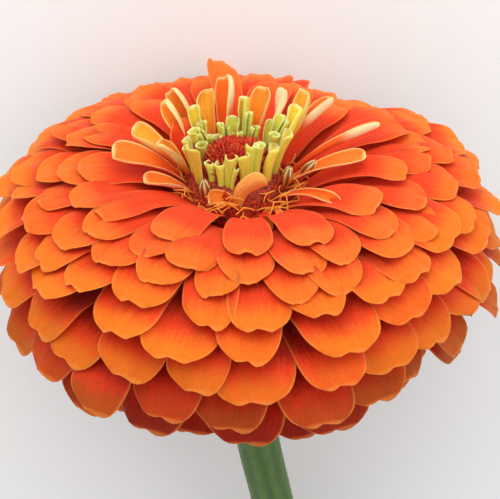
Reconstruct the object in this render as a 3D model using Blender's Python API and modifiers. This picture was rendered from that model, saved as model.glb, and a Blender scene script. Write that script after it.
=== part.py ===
"""A double zinnia with its cut stem, lying on a flat surface.

The head is described upright, in millimetres: X to its right, Y to its back and Z up its
axis. tip_over() turns that into the scene's metres, with the flower lying on its back
petals and on the cut end of its stem, and its face turned up.
"""

import math
import random

import bmesh
import bpy
from mathutils import Matrix, Vector

NAME = "zinnia_flower"
MM = 0.001
GAP = 0.3
WELD = 0.0000004

# How the head lies: its centre over the surface, and how far its face looks up.
HEAD_CENTRE = Vector((0.0008, -0.0404, 0.0462))
FACE_UP = math.radians(20)
SOFT = 3.2
REST = 0.4

# The petal tips lie on a flattened dome with slightly square shoulders. Its back reaches a
# little further, and each swell is an azimuth, how far the dome stands out there, and the
# swell's width in degrees.
DOME_RADIUS = 52.0
DOME_TOP = 25.0
DOME_BOTTOM = 28.0
DOME_SQUARE = 2.3
BACK_REACH = 0.015
SWELLS = ((108, 0.06, 20), (152, -0.05, 18), (-112, 0.03, 22), (40, -0.03, 16))

# The receptacle that every petal grows from.
CORE_RADIUS = 10.5
CORE_TOP = 13.6
CORE_BOTTOM = -11.4

# Each whorl: the height of its tips on the dome in degrees, how many rays it has, where
# its foremost ray points, and how wide a ray is.
WHORLS = (
    (54, 13, 1, 9.6),
    (46, 20, 0, 10.0),
    (38, 20, 12, 10.8),
    (29, 24, 4, 11.6),
    (16, 20, 4, 13.4),
    (1, 24, 3, 13.6),
    (-14, 22, -3, 13.2),
    (-30, 16, 1, 14.0),
    (-45, 12, 12, 13.0),
)
RAY_ROWS = ((0.0, 0.1), (0.45, 0.55), (0.76, 1.0), (0.92, 0.86), (0.985, 0.45), (1.0, 0.0))
RAY_THICKNESS = 1.4

# The half-rolled rays inside the first whorl: where each points, how steeply it leaves the
# receptacle, the radius and height of its tip, how it points there, and its width.
INNER_RAYS = (
    (-78, 48, 27, 26, 20, 5.0),
    (-90, 60, 21, 28, 50, 4.2),
    (-62, 42, 23, 23, 20, 4.0),
    (-112, 55, 25, 25, 35, 5.5),
    (-138, 50, 25, 25, 30, 6.0),
    (-165, 62, 24, 30, 50, 7.0),
    (170, 45, 29, 24, 15, 6.0),
    (156, 42, 30, 22, 5, 4.6),
    (142, 40, 33, 20, 0, 4.2),
    (121, 38, 34, 19, 0, 5.2),
    (95, 40, 22, 22, 15, 5.0),
    (58, 38, 26, 21, 0, 3.6),
    (8, 66, 15, 22, -30, 4.6),
    (-34, 44, 18, 20, 0, 4.4),
    (32, 44, 18, 20, 0, 4.0),
)

# The rolled florets round the disc: where each points, how far it leans out, its length
# and its width.
FLORETS = (
    (-150, 6, 21, 4.0),
    (-132, 10, 19, 3.9),
    (-104, 18, 18, 3.5),
    (-119, 13, 14, 2.3),
    (-171, 20, 15, 2.5),
    (166, 6, 18, 4.0),
    (146, 24, 17, 3.5),
    (128, 15, 15, 2.6),
    (-70, 14, 13, 3.5),
    (-86, 10, 12, 2.1),
    (52, 8, 16, 3.5),
    (27, 16, 17, 3.0),
    (18, -8, 14, 3.3),
    (0, 10, 12, 2.6),
    (-18, 5, 13, 2.8),
    (-35, 5, 11, 2.3),
    (-52, 8, 10, 2.1),
    (-97, 2, 8, 1.8),
    (-141, 2, 8, 1.8),
    (-161, 4, 10, 2.1),
    (178, 2, 9, 1.9),
    (155, 0, 9, 1.9),
    (138, 2, 12, 2.1),
    (110, 8, 9, 2.1),
    (92, 4, 8, 1.9),
    (74, 10, 9, 2.1),
    (38, 2, 9, 1.9),
)
FLORET_RING = 8.6
FLORET_ROWS = ((0.0, 0.4), (0.1, 0.6), (0.45, 0.7), (0.75, 1.0), (0.93, 0.8), (1.0, 0.0))
COLLAR_INSIDE = 7.3
COLLAR_OUTSIDE = 9.8
COLLAR_TOP = 16.2
BUDS = (-58, 63, 120)

DISC_TOP = 23.5
DISC_SCALES = 42
GOLDEN_ANGLE = math.radians(137.508)

CUP_TOP = CORE_BOTTOM - GAP
CUP_BOTTOM = -27.7
CUP_PROFILE = (
    (12.3, CUP_TOP),
    (13.2, -14.6),
    (12.9, -18.0),
    (11.2, -22.0),
    (8.2, -25.4),
    (5.5, CUP_BOTTOM),
)
BRACTS = 8
BRACT_ROWS = ((0.0, 0.5), (0.15, 0.7), (0.5, 1.0), (0.8, 0.85), (0.95, 0.5), (1.0, 0.0))

STEM_RADIUS = 4.6
STEM_BEND = 0.24
PITH_RADIUS = 3.0
PITH_DEPTH = 2.5


def head_matrix():
    """The head's upright frame in millimetres, laid down in the scene's metres."""
    axis = Vector((0, -math.cos(FACE_UP), math.sin(FACE_UP)))
    right = Vector((-1, 0, 0))
    back = axis.cross(right)
    turn = Matrix((right, back, axis)).transposed().to_4x4()
    return Matrix.Translation(HEAD_CENTRE) @ turn @ Matrix.Scale(MM, 4)


HEAD = head_matrix()


def tip_over(point):
    """Lay a point of the head down, and press what would reach below the surface flat."""
    laid = HEAD @ point
    over = laid.z / MM - SOFT
    if over < 0:
        laid.z = (REST + (SOFT - REST) * math.exp(over / (SOFT - REST))) * MM
    return laid


def new_material(name, colour, roughness):
    material = bpy.data.materials.new(name)
    material.use_nodes = True
    shader = material.node_tree.nodes["Principled BSDF"]
    shader.inputs["Base Color"].default_value = (*colour, 1)
    shader.inputs["Roughness"].default_value = roughness
    shader.inputs["Metallic"].default_value = 0
    return material


def new_object(name, mesh, collection):
    thing = bpy.data.objects.new(name, mesh)
    collection.objects.link(thing)
    return thing


def blade(name, middle, rows, thickness, collection):
    """A closed blade: a four-sided sphere drawn onto the surface middle(u, v).

    u runs from root to tip and v from one edge to the other. The edges are thin, and the
    thickness is that of the rib between them.
    """
    last = len(rows) - 1
    shape = bmesh.new()
    bmesh.ops.create_uvsphere(shape, u_segments=4, v_segments=last, radius=1)
    for corner in shape.verts:
        row = last - round(math.acos(max(-1, min(1, corner.co.z))) / math.pi * last)
        ring = math.hypot(corner.co.x, corner.co.y)
        across = round(corner.co.x / ring) if ring > 0.01 else 0
        side = round(corner.co.y / ring) if ring > 0.01 else 0
        u = rows[row][0]
        along = middle(min(u + 0.03, 1), 0) - middle(max(u - 0.03, 0), 0)
        width = middle(u, 0.3) - middle(u, -0.3)
        normal = width.cross(along)
        if normal.length > 0:
            normal.normalize()
        corner.co = middle(u, across) + normal * side * thickness / 2 * MM
        corner.co.z = max(corner.co.z, 0)
    bmesh.ops.triangulate(shape, faces=shape.faces, quad_method="SHORT_EDGE")
    bmesh.ops.recalc_face_normals(shape, faces=shape.faces)
    mesh = bpy.data.meshes.new(name)
    shape.to_mesh(mesh)
    shape.free()
    return new_object(name, mesh, collection)


def row_width(rows, u):
    """How wide a blade is at u, as a share of its greatest width."""
    for (u0, w0), (u1, w1) in zip(rows, rows[1:]):
        if u <= u1:
            return w0 + (w1 - w0) * (u - u0) / (u1 - u0)
    return rows[-1][1]


def bezier(points, u):
    p0, p1, p2, p3 = points
    v = 1 - u
    return p0 * v**3 + p1 * 3 * v * v * u + p2 * 3 * v * u * u + p3 * u**3


def arc_line(root, rise, tip, droop):
    """Control points of a curve in the (radius, height) plane, with its end slopes."""
    root, tip = Vector(root), Vector(tip)
    reach = (tip - root).length
    start = Vector((math.cos(rise), math.sin(rise)))
    end = Vector((math.cos(droop), math.sin(droop)))
    return root, root + start * reach * 0.42, tip - end * reach * 0.4, tip


def dome_point(azimuth, angle):
    """The radius and height of a petal tip at an azimuth and an angle up the dome."""
    power = 2 / DOME_SQUARE
    reach = 1 + BACK_REACH * (1 - math.cos(azimuth)) / 2
    for centre, swell, spread in SWELLS:
        off = (math.degrees(azimuth) - centre + 180) % 360 - 180
        reach += swell * math.exp(-((off / spread) ** 2))
    radius = DOME_RADIUS * reach * math.cos(angle) ** power
    height = DOME_TOP if angle > 0 else -DOME_BOTTOM
    return radius, height * abs(math.sin(angle)) ** power


def leaf_surface(azimuth, line, rows, width, arch, roll, yaw):
    """The middle of a ray: it follows line outwards, and its edges bend down by arch."""
    def middle(u, v):
        radius, height = bezier(line, u)
        ahead = bezier(line, min(u + 0.02, 1)) - bezier(line, max(u - 0.02, 0))
        ahead.normalize()
        half = width / 2 * row_width(rows, u)
        turn = azimuth + yaw * u * u
        out = Vector((math.sin(turn), -math.cos(turn), 0))
        aside = Vector((math.cos(turn), math.sin(turn), 0))
        along = out * ahead.x + Vector((0, 0, ahead.y))
        up = along.cross(aside)
        if up.z < 0:
            up.negate()
        lean = roll * u
        across = aside * math.cos(lean) + up * math.sin(lean)
        bend = up * math.cos(lean) - aside * math.sin(lean)
        point = out * radius + Vector((0, 0, height))
        return tip_over(point + across * half * v - bend * half * arch * v * v)
    return middle


def join(name, core, pieces, material):
    """Fuse a collection of overlapping pieces into the core, and drop the pieces."""
    union = core.modifiers.new("grow", "BOOLEAN")
    union.operation = "UNION"
    union.operand_type = "COLLECTION"
    union.collection = pieces
    union.solver = "MANIFOLD"
    graph = bpy.context.evaluated_depsgraph_get()
    mesh = bpy.data.meshes.new_from_object(core.evaluated_get(graph))
    core.modifiers.clear()
    welded = bmesh.new()
    welded.from_mesh(mesh)
    bmesh.ops.remove_doubles(welded, verts=welded.verts, dist=WELD / core.matrix_world.median_scale)
    welded.to_mesh(mesh)
    welded.free()
    core.data = mesh
    core.name = name
    mesh.name = name
    mesh.materials.clear()
    mesh.materials.append(material)
    for piece in list(pieces.objects):
        bpy.data.objects.remove(piece)
    bpy.data.collections.remove(pieces)
    return core


def turned(name, profile, closed, collection):
    """A body turned round the head's axis, from a profile that runs down its outer side."""
    mesh = bpy.data.meshes.new(name)
    edges = [(i, i + 1) for i in range(len(profile) - 1)]
    if closed:
        edges.append((len(profile) - 1, 0))
    mesh.from_pydata([(r, 0, z) for r, z in profile], edges, [])
    body = new_object(name, mesh, collection)
    body.matrix_world = HEAD
    screw = body.modifiers.new("turn", "SCREW")
    screw.steps = 24
    screw.render_steps = 24
    screw.use_merge_vertices = True
    screw.merge_threshold = 0.0001
    return body


def new_collection(name):
    group = bpy.data.collections.new(name)
    bpy.context.scene.collection.children.link(group)
    return group


def build_ray_petals(parts, material):
    """All the rays, fused into the receptacle they grow from."""
    dice = random.Random(11)
    pieces = new_collection("rays")
    count = 0
    for level, (tip_angle, number, first, width) in enumerate(WHORLS):
        share = level / (len(WHORLS) - 1)
        for i in range(number):
            azimuth = math.radians(first + 360 * i / number + dice.uniform(-2.5, 2.5))
            angle = math.radians(tip_angle + dice.uniform(-2.5, 2.5))
            tip = dome_point(azimuth, angle)
            root = (7.5, 10.4 - 19.4 * share)
            rise = math.radians(42 - 47 * share)
            droop = math.radians(-8 - 58 * share + dice.uniform(-5, 5))
            line = arc_line(root, rise, tip, droop)
            size = width * dice.uniform(0.93, 1.08)
            roll = math.radians(dice.uniform(-9, 9))
            yaw = math.radians(dice.uniform(-3, 3))
            middle = leaf_surface(azimuth, line, RAY_ROWS, size, 0.16, roll, yaw)
            blade(f"ray_{count}", middle, RAY_ROWS, RAY_THICKNESS, pieces)
            count += 1
    for azimuth, rise, radius, height, droop, width in INNER_RAYS:
        line = arc_line((9.6, 10.4), math.radians(rise), (radius, height), math.radians(droop))
        middle = leaf_surface(math.radians(azimuth), line, RAY_ROWS, width, -0.3, 0, 0)
        blade(f"ray_{count}", middle, RAY_ROWS, RAY_THICKNESS, pieces)
        count += 1
    profile = ((0, CORE_TOP), (CORE_RADIUS, CORE_TOP), (CORE_RADIUS, CORE_BOTTOM), (0, CORE_BOTTOM))
    core = turned("receptacle", profile, False, parts)
    return join("ray_petals", core, pieces, material)


def floret_surface(azimuth, lean, length, width):
    """The middle of a rolled floret, hollow towards the disc."""
    start = math.radians(90 - lean * 0.6)
    end = math.radians(90 - lean * 1.4)
    reach = Vector((math.sin(math.radians(lean)), math.cos(math.radians(lean)))) * length
    root = Vector((FLORET_RING, COLLAR_TOP - 1.4))
    line = arc_line(root, start, root + reach, end)
    return leaf_surface(math.radians(azimuth), line, FLORET_ROWS, width, -0.5, 0, 0)


def build_quill_florets(parts, material):
    """The rolled florets and closed buds, fused into a collar round the disc."""
    pieces = new_collection("florets")
    for i, (azimuth, lean, length, width) in enumerate(FLORETS):
        middle = floret_surface(azimuth, lean, length, width)
        blade(f"floret_{i}", middle, FLORET_ROWS, 1.5, pieces)
    for i, azimuth in enumerate(BUDS):
        turn = math.radians(azimuth)
        place = Vector((math.sin(turn), -math.cos(turn), 0)) * FLORET_RING
        place.z = COLLAR_TOP + 0.6
        shape = bmesh.new()
        bmesh.ops.create_uvsphere(shape, u_segments=8, v_segments=6, radius=1)
        bmesh.ops.scale(shape, vec=(1.1, 1.1, 2.2), verts=shape.verts)
        bmesh.ops.translate(shape, vec=place, verts=shape.verts)
        mesh = bpy.data.meshes.new(f"bud_{i}")
        shape.to_mesh(mesh)
        shape.free()
        bud = new_object(f"bud_{i}", mesh, pieces)
        bud.matrix_world = HEAD
    bottom = CORE_TOP + GAP
    profile = (
        (COLLAR_INSIDE, COLLAR_TOP),
        (COLLAR_OUTSIDE - 0.8, COLLAR_TOP),
        (COLLAR_OUTSIDE, COLLAR_TOP - 0.8),
        (COLLAR_OUTSIDE, bottom),
        (COLLAR_INSIDE, bottom),
    )
    collar = turned("collar", profile, True, parts)
    return join("quill_florets", collar, pieces, material)


def build_disc(parts, material):
    """The red cone in the middle, covered with pointed scales in a golden-angle spiral."""
    pieces = new_collection("scales")
    base = CORE_TOP + GAP
    height = DISC_TOP - base
    for i in range(DISC_SCALES):
        share = (i + 0.5) / DISC_SCALES
        slope = math.acos(1 - share * 0.86)
        turn = i * GOLDEN_ANGLE
        out = Vector((math.sin(slope) * math.cos(turn), math.sin(slope) * math.sin(turn), 0))
        rise = 1.8 + (height - 3.6) * math.cos(slope) ** 0.6
        wide = 5.7 * math.sin(slope) ** -0.2
        foot = Vector((out.x * wide, out.y * wide, base + rise))
        aim = (out * 0.5 + Vector((0, 0, 1))).normalized()
        shape = bmesh.new()
        bmesh.ops.create_cone(
            shape, cap_ends=True, segments=4, radius1=1.1, radius2=0, depth=3.4
        )
        turned_up = Vector((0, 0, 1)).rotation_difference(aim).to_matrix().to_4x4()
        bmesh.ops.transform(shape, matrix=Matrix.Translation(foot) @ turned_up, verts=shape.verts)
        mesh = bpy.data.meshes.new(f"scale_{i}")
        shape.to_mesh(mesh)
        shape.free()
        scale = new_object(f"scale_{i}", mesh, pieces)
        scale.matrix_world = HEAD
    profile = [(0, base + height - 1.2)]
    for step in range(1, 7):
        slope = math.radians(15 * step)
        swell = (6.6 * math.sin(slope) ** 0.8, (height - 1.2) * math.cos(slope) ** 0.6)
        profile.append((swell[0], base + swell[1]))
    profile.append((0, base))
    cone = turned("cone", profile, False, parts)
    return join("disc", cone, pieces, material)


def cup_point(height):
    """The cup's radius at a height."""
    for (r0, z0), (r1, z1) in zip(CUP_PROFILE, CUP_PROFILE[1:]):
        if height >= z1:
            return r0 + (r1 - r0) * (height - z0) / (z1 - z0)
    return CUP_PROFILE[-1][0]


def bract_surface(azimuth, foot, top, width):
    """The middle of a bract: it hugs the cup, with its edges sunk in."""
    def middle(u, v):
        height = foot + (top - foot) * u
        radius = cup_point(height) + 0.15 + 0.5 * u * u - 0.5 * v * v
        turn = azimuth + v * width / 2 * row_width(BRACT_ROWS, u) / radius
        return HEAD @ Vector((math.sin(turn) * radius, -math.cos(turn) * radius, height))
    return middle


def build_bract_cup(parts, material):
    """The green cup under the rays, with three rows of overlapping bracts."""
    pieces = new_collection("bracts")
    rows = ((-23.0, CUP_TOP + 0.2, 9.4), (-26.4, -17.0, 8.4))
    for level, (foot, top, width) in enumerate(rows):
        for i in range(BRACTS):
            azimuth = 2 * math.pi * (i + 0.5 * level) / BRACTS
            middle = bract_surface(azimuth, foot, top, width)
            blade(f"bract_{level}_{i}", middle, BRACT_ROWS, 1.1, pieces)
    profile = [(0, CUP_TOP), *CUP_PROFILE, (0, CUP_BOTTOM)]
    cup = turned("cup", profile, False, parts)
    return join("bract_cup", cup, pieces, material)


def stem_path():
    """Points down the stem, from under the cup to the cut end on the surface."""
    lean = math.sin(FACE_UP)
    over = HEAD_CENTRE.z / MM - STEM_RADIUS * 0.88
    end = -over / lean
    start = CUP_BOTTOM - GAP
    points = []
    steps = 16
    for i in range(steps + 1):
        height = start + (end - start) * i / steps
        down = start - height
        bend = STEM_BEND * down * down / (down + 28)
        points.append(HEAD @ Vector((bend, 0, height)))
    return points


def build_stem(parts, cutters, material):
    """The stem, a bent tube with a shallow pith hollow in its cut end."""
    path = stem_path()
    curve = bpy.data.curves.new("stem_path", "CURVE")
    curve.dimensions = "3D"
    curve.bevel_depth = STEM_RADIUS * MM
    curve.bevel_resolution = 3
    curve.use_fill_caps = True
    spline = curve.splines.new("POLY")
    spline.points.add(len(path) - 1)
    for i, (point, place) in enumerate(zip(spline.points, path)):
        point.co = (*place, 1)
        point.radius = 1.06 - 0.1 * i / (len(path) - 1)
    tube = new_object("stem_tube", curve, parts)
    graph = bpy.context.evaluated_depsgraph_get()
    mesh = bpy.data.meshes.new_from_object(tube.evaluated_get(graph))
    mesh.name = "stem"
    weld = bmesh.new()
    weld.from_mesh(mesh)
    bmesh.ops.remove_doubles(weld, verts=weld.verts, dist=0.00001)
    for corner in weld.verts:
        corner.co.z = max(corner.co.z, 0)
    weld.to_mesh(mesh)
    weld.free()
    stem = new_object("stem", mesh, parts)
    stem.matrix_world = tube.matrix_world
    bpy.data.objects.remove(tube)
    mesh.materials.clear()
    mesh.materials.append(material)

    heading = (path[-1] - path[-2]).normalized()
    shape = bmesh.new()
    bmesh.ops.create_cone(
        shape,
        cap_ends=True,
        segments=16,
        radius1=PITH_RADIUS * MM,
        radius2=PITH_RADIUS * MM,
        depth=PITH_DEPTH * 2 * MM,
    )
    pith_mesh = bpy.data.meshes.new("pith_cutter")
    shape.to_mesh(pith_mesh)
    shape.free()
    pith = new_object("pith_cutter", pith_mesh, cutters)
    pith.location = path[-1]
    pith.rotation_mode = "QUATERNION"
    pith.rotation_quaternion = heading.to_track_quat("Z", "Y")
    pith.hide_render = True
    pith.display_type = "WIRE"
    cut = stem.modifiers.new("pith", "BOOLEAN")
    cut.operation = "DIFFERENCE"
    cut.object = pith
    return stem


def main():
    for thing in list(bpy.data.objects):
        bpy.data.objects.remove(thing)
    parts = new_collection(NAME)
    cutters = new_collection("cutters")
    petal_orange = new_material("petal_orange", (0.86, 0.14, 0.02), 0.55)
    floret_lime = new_material("floret_lime", (0.66, 0.54, 0.08), 0.5)
    disc_red = new_material("disc_red", (0.40, 0.03, 0.015), 0.6)
    bract_green = new_material("bract_green", (0.07, 0.14, 0.03), 0.6)
    stem_green = new_material("stem_green", (0.06, 0.12, 0.025), 0.55)
    build_ray_petals(parts, petal_orange)
    build_quill_florets(parts, floret_lime)
    build_disc(parts, disc_red)
    build_bract_cup(parts, bract_green)
    build_stem(parts, cutters, stem_green)


main()
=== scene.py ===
# %% [markdown]
# # A double zinnia, petal by petal
# A double zinnia has many more ray petals than a wild one. They grow in whorls from one
# cone-shaped receptacle, and only the outer third of each ray shows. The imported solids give
# every ray its place. This script gives each one its thin, grooved, rounded blade, and its
# colour. It starts by loading those solids as a fixed frame.

# %% Load the frame
import math
import random

import bmesh
import bpy
import numpy as np
from mathutils import Matrix, Vector


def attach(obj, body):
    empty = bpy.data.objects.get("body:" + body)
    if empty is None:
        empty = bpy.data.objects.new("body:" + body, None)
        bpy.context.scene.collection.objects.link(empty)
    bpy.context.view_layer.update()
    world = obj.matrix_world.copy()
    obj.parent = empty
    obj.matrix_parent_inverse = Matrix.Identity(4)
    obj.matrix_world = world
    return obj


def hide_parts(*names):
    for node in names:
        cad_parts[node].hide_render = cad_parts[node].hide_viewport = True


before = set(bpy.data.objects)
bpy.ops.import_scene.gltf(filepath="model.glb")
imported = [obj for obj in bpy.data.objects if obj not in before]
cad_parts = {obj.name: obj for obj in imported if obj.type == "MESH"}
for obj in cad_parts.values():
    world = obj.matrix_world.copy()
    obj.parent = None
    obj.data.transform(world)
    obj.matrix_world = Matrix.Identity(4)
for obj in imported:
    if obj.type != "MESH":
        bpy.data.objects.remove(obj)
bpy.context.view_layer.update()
print("frame nodes:", sorted(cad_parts))

# %% [markdown]
# The head is easiest to describe upright, in millimetres, with Z along its axis. The flower
# lies on its back petals and on the end of its stem, so one matrix lays the upright head
# down where the solids have it. Petals that would sink below the surface are eased up from
# a soft height to a rest height.

# %% The head's own frame
MM = 0.001
HEAD_CENTRE = Vector((0.0008, -0.0404, 0.0462))
FACE_UP = math.radians(20)
RIGHT = Vector((-1, 0, 0))
AXIS = Vector((0, -math.cos(FACE_UP), math.sin(FACE_UP)))
BACK = AXIS.cross(RIGHT)
HEAD = (
    Matrix.Translation(HEAD_CENTRE)
    @ Matrix((RIGHT, BACK, AXIS)).transposed().to_4x4()
    @ Matrix.Scale(MM, 4)
)
SOFT = 3.2
REST = 0.15
FIRM_REST = 0.02
print("head centre", tuple(round(c, 4) for c in HEAD_CENTRE))

# %% [markdown]
# ## Camera
# The photograph looks down on the bloom from 35 degrees above its rim. Because the flower
# lies on its back here, that view comes from almost straight above. A long lens keeps the
# near petals from swelling, as in the photograph.

# %% Camera
VIEW_RISE = math.radians(35)
VIEW_REACH = 450
LENS, SENSOR = 155.2, 36


def linked(name, data):
    thing = bpy.data.objects.new(name, data)
    bpy.context.scene.collection.objects.link(thing)
    return thing


def place_camera():
    aim = Vector((0, -math.cos(VIEW_RISE), math.sin(VIEW_RISE)))
    eye = HEAD @ (aim * VIEW_REACH)
    back = (eye - HEAD_CENTRE).normalized()
    lens = bpy.data.cameras.new("portrait_lens")
    lens.lens = LENS
    lens.sensor_width = SENSOR
    lens.shift_x = 0.010
    lens.shift_y = -0.011
    camera = linked("camera", lens)
    turn = Matrix((RIGHT, back.cross(RIGHT), back)).transposed().to_4x4()
    camera.matrix_world = Matrix.Translation(eye) @ turn
    bpy.context.scene.camera = camera
    return camera


camera = place_camera()
print("camera at", tuple(round(c, 3) for c in camera.location))

# %% [markdown]
# ## Floor and light
# Daylight falls on the bloom from above its face, so the open petals glow and the skirt of
# lower petals goes dark red. A broad soft panel lights the face here, with a weaker one
# opposite and a dim, even sky. These lamps would leave the skirt bright, so its dark red is
# painted shade in the ray colour.

# %% Floor and light
FLOOR_HALF = 1.6


def new_material(name):
    material = bpy.data.materials.new(name)
    material.use_nodes = True
    return material, material.node_tree.nodes["Principled BSDF"]


def meshed(shape, name):
    mesh = bpy.data.meshes.new(name)
    shape.to_mesh(mesh)
    shape.free()
    return mesh


def lay_floor():
    shape = bmesh.new()
    bmesh.ops.create_grid(shape, x_segments=1, y_segments=1, size=FLOOR_HALF)
    floor = linked("floor", meshed(shape, "floor"))
    material, shader = new_material("pale_paper")
    shader.inputs["Base Color"].default_value = (0.80, 0.79, 0.76, 1)
    shader.inputs["Roughness"].default_value = 0.9
    floor.data.materials.append(material)


def hang_panel(name, toward, reach, size, power, tint):
    light = bpy.data.lights.new(name, "AREA")
    light.energy = power
    light.size = size
    light.color = tint
    toward = Vector(toward).normalized()
    panel = linked(name, light)
    panel.location = HEAD_CENTRE + toward * reach
    panel.rotation_euler = toward.to_track_quat("Z", "Y").to_euler()


lay_floor()
warm, cool = (1.0, 0.97, 0.93), (0.95, 0.97, 1.0)
hang_panel("key_panel", toward=(0.12, -0.85, 0.56), reach=0.9, size=0.9, power=5.15, tint=warm)
hang_panel("fill_panel", toward=(-0.7, -0.4, 0.6), reach=1.1, size=0.9, power=2.0, tint=cool)
sky = bpy.data.worlds.new("soft_sky")
sky.use_nodes = True
glow = sky.node_tree.nodes["Background"]
glow.inputs["Color"].default_value = (0.93, 0.95, 1.0, 1)
glow.inputs["Strength"].default_value = 0.92
bpy.context.scene.world = sky
bpy.context.scene.view_settings.view_transform = "Standard"
print("lights:", [light.name for light in bpy.data.lights])

# %% [markdown]
# ## A blank for every blade
# A ray, a rolled floret and a green bract are all thin blades. Each starts as a flat blank:
# a grid with an upper and a lower skin that meet in one thin edge. The blank only stores,
# at each point, how far along and across the blade it is, how wide the blade is there, and
# how high its grooves and ruffles stand. Growing it into place comes later.

# %% Blade blanks
TIP_CROWDING = 1.5
MARGIN_CROWDING = 0.35
BLANK_THICKNESS = 0.02
FURROW_WIDTH, MIDRIB_WIDTH, NOTCH_WIDTH = 0.12, 0.09, 0.10


def ramp(low, high, value):
    share = np.clip((value - low) / (high - low), 0, 1)
    return share * share * (3 - 2 * share)


def hump(value, centre, width):
    return np.exp(-(((value - centre) / width) ** 2))


def rounded_spread(u, outline, round_tip, closing, power):
    """How wide the blade is at each point: a smoothed outline, rounded off at its tip."""
    fine = np.linspace(0, 1, 201)
    swell = np.interp(fine, *np.array(outline).T)
    for _ in range(40):
        swell[1:-1] = (swell[:-2] + swell[1:-1] * 2 + swell[2:]) / 4
    past = np.clip((u - (1 - round_tip)) / (round_tip * closing), 0, 1)
    return np.interp(u, fine, swell) * (1 - past**power) ** (1 / power)


def blade_relief(u, lateral, groove, ruffle, dice):
    """How high the grooves and ruffles stand, as a share of half the blade's width."""
    open_part = ramp(0.3, 0.6, u)
    relief = np.zeros_like(u)
    for centre in (dice.uniform(0.28, 0.42), -dice.uniform(0.28, 0.42)):
        relief -= groove * dice.uniform(0.7, 1.2) * hump(lateral, centre, FURROW_WIDTH) * open_part
    relief -= groove * 0.4 * hump(lateral, 0, MIDRIB_WIDTH) * open_part
    relief += groove * 0.10 * np.cos(lateral * 21 + dice.uniform(0, 6)) * open_part
    relief += groove * 0.9 * np.cos(lateral * dice.uniform(2.6, 4.4) + dice.uniform(0, 6)) * open_part
    for _ in range(2):
        wave = np.sin(u * dice.uniform(9, 17) + lateral * dice.uniform(1, 3) + dice.uniform(0, 6))
        relief += ruffle * wave * lateral**2 * ramp(0.4, 0.85, u)
    relief += ruffle * dice.uniform(-1.6, 1.2) * ramp(0.86, 1, u) ** 2
    relief += ruffle * np.cos(lateral * dice.uniform(4, 7) + dice.uniform(0, 6)) * ramp(0.88, 1, u)
    return relief


def blade_blank(name, seed, columns, rows, outline, round_tip, groove, ruffle, closing=1.02, nick=0.008):
    """A flat closed blade that carries along, across, spread, relief and side."""
    dice = random.Random(seed)
    u, t = np.meshgrid(np.linspace(0, 1, rows + 1), np.linspace(-1, 1, columns + 1), indexing="ij")
    u = 1 - (1 - u) ** TIP_CROWDING
    t = np.sin(t * math.pi / 2) * MARGIN_CROWDING + t * (1 - MARGIN_CROWDING)
    spread = rounded_spread(u, outline, round_tip, closing, dice.uniform(2.3, 2.9))
    lateral = t * spread
    notch = nick * hump(lateral, dice.uniform(-0.4, 0.4), NOTCH_WIDTH) * dice.uniform(0.2, 1.3)
    notch = notch + 0.003 * np.sin(lateral * dice.uniform(7, 11) + dice.uniform(0, 6))
    along = u - ramp(1 - round_tip * 0.9, 1, u) * (notch + dice.uniform(-0.024, 0.024) * lateral)
    relief = blade_relief(u, lateral, groove, ruffle, dice)

    verts, facts, faces, skins = [], [], [], {}
    for side in (1, -1):
        for i, j in np.ndindex(u.shape):
            rim = i in (0, rows) or j in (0, columns)
            if side < 0 and rim:
                skins[side, i, j] = skins[1, i, j]
                continue
            skins[side, i, j] = len(verts)
            skin = 0 if rim else side
            verts.append((-lateral[i, j], along[i, j], skin * BLANK_THICKNESS))
            facts.append((along[i, j], t[i, j], spread[i, j], relief[i, j], skin))
    for i, j in np.ndindex(rows, columns):
        corners = ((i, j), (i + 1, j), (i + 1, j + 1), (i, j + 1))
        faces.append([skins[1, *corner] for corner in corners])
        faces.append([skins[-1, *corner] for corner in reversed(corners)])
    mesh = bpy.data.meshes.new(name)
    mesh.from_pydata(verts, [], faces)
    facts = np.array(facts).T
    for key, values in zip(("along", "across", "spread", "relief", "side"), facts):
        mesh.attributes.new(key, "FLOAT", "POINT").data.foreach_set("value", values)
    on_rim = facts[4] == 0
    rims = [bool(on_rim[a] and on_rim[b]) for a, b in (edge.vertices for edge in mesh.edges)]
    mesh.attributes.new("sharp_edge", "BOOLEAN", "EDGE").data.foreach_set("value", rims)
    return bpy.data.objects.new(name, mesh)


def blank_set(name, numbers, seed, **shape):
    return [blade_blank(f"{name}_{k}", seed + k, **shape) for k in numbers]


RAY_OUTLINE = ((0, 0.2), (0.12, 0.48), (0.3, 0.8), (0.55, 0.94), (0.75, 1), (0.9, 1), (1, 0.96))
SPOON_OUTLINE = ((0, 0.2), (0.15, 0.42), (0.35, 0.62), (0.55, 0.82), (0.75, 0.98), (0.88, 1), (1, 0.96))
QUILL_OUTLINE = ((0, 0.6), (0.3, 0.72), (0.6, 0.84), (0.85, 0.96), (1, 1.1))
BRACT_OUTLINE = ((0, 0.6), (0.3, 0.95), (0.55, 1), (0.8, 0.9), (1, 0.7))
ray_shape = {"columns": 12, "rows": 24, "closing": 1.03}
quill_shape = {"columns": 14, "rows": 16, "outline": QUILL_OUTLINE, "groove": 0.03}
bract_shape = {"outline": BRACT_OUTLINE, "groove": 0.02, "ruffle": 0.02}
ray_blanks = blank_set(
    "ray_blank", range(4), 40,
    outline=SPOON_OUTLINE, round_tip=0.18, groove=0.065, ruffle=0.04, nick=0.004, **ray_shape,
) + blank_set(
    "ray_blank", range(4, 8), 40,
    outline=RAY_OUTLINE, round_tip=0.16, groove=0.06, ruffle=0.05, nick=0.006, **ray_shape,
)
quill_blanks = blank_set(
    "quill_blank", range(3), 60, round_tip=0.12, ruffle=0.04, **quill_shape,
) + blank_set(
    "tube_blank", range(3), 63, round_tip=0.04, ruffle=0.05, closing=1.6, **quill_shape,
)
bract_blanks = blank_set("bract_blank", range(2), 80, columns=8, rows=12, round_tip=0.4, **bract_shape)
scale_blanks = blank_set("scale_blank", range(1), 90, columns=4, rows=5, round_tip=0.5, **bract_shape)
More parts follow.
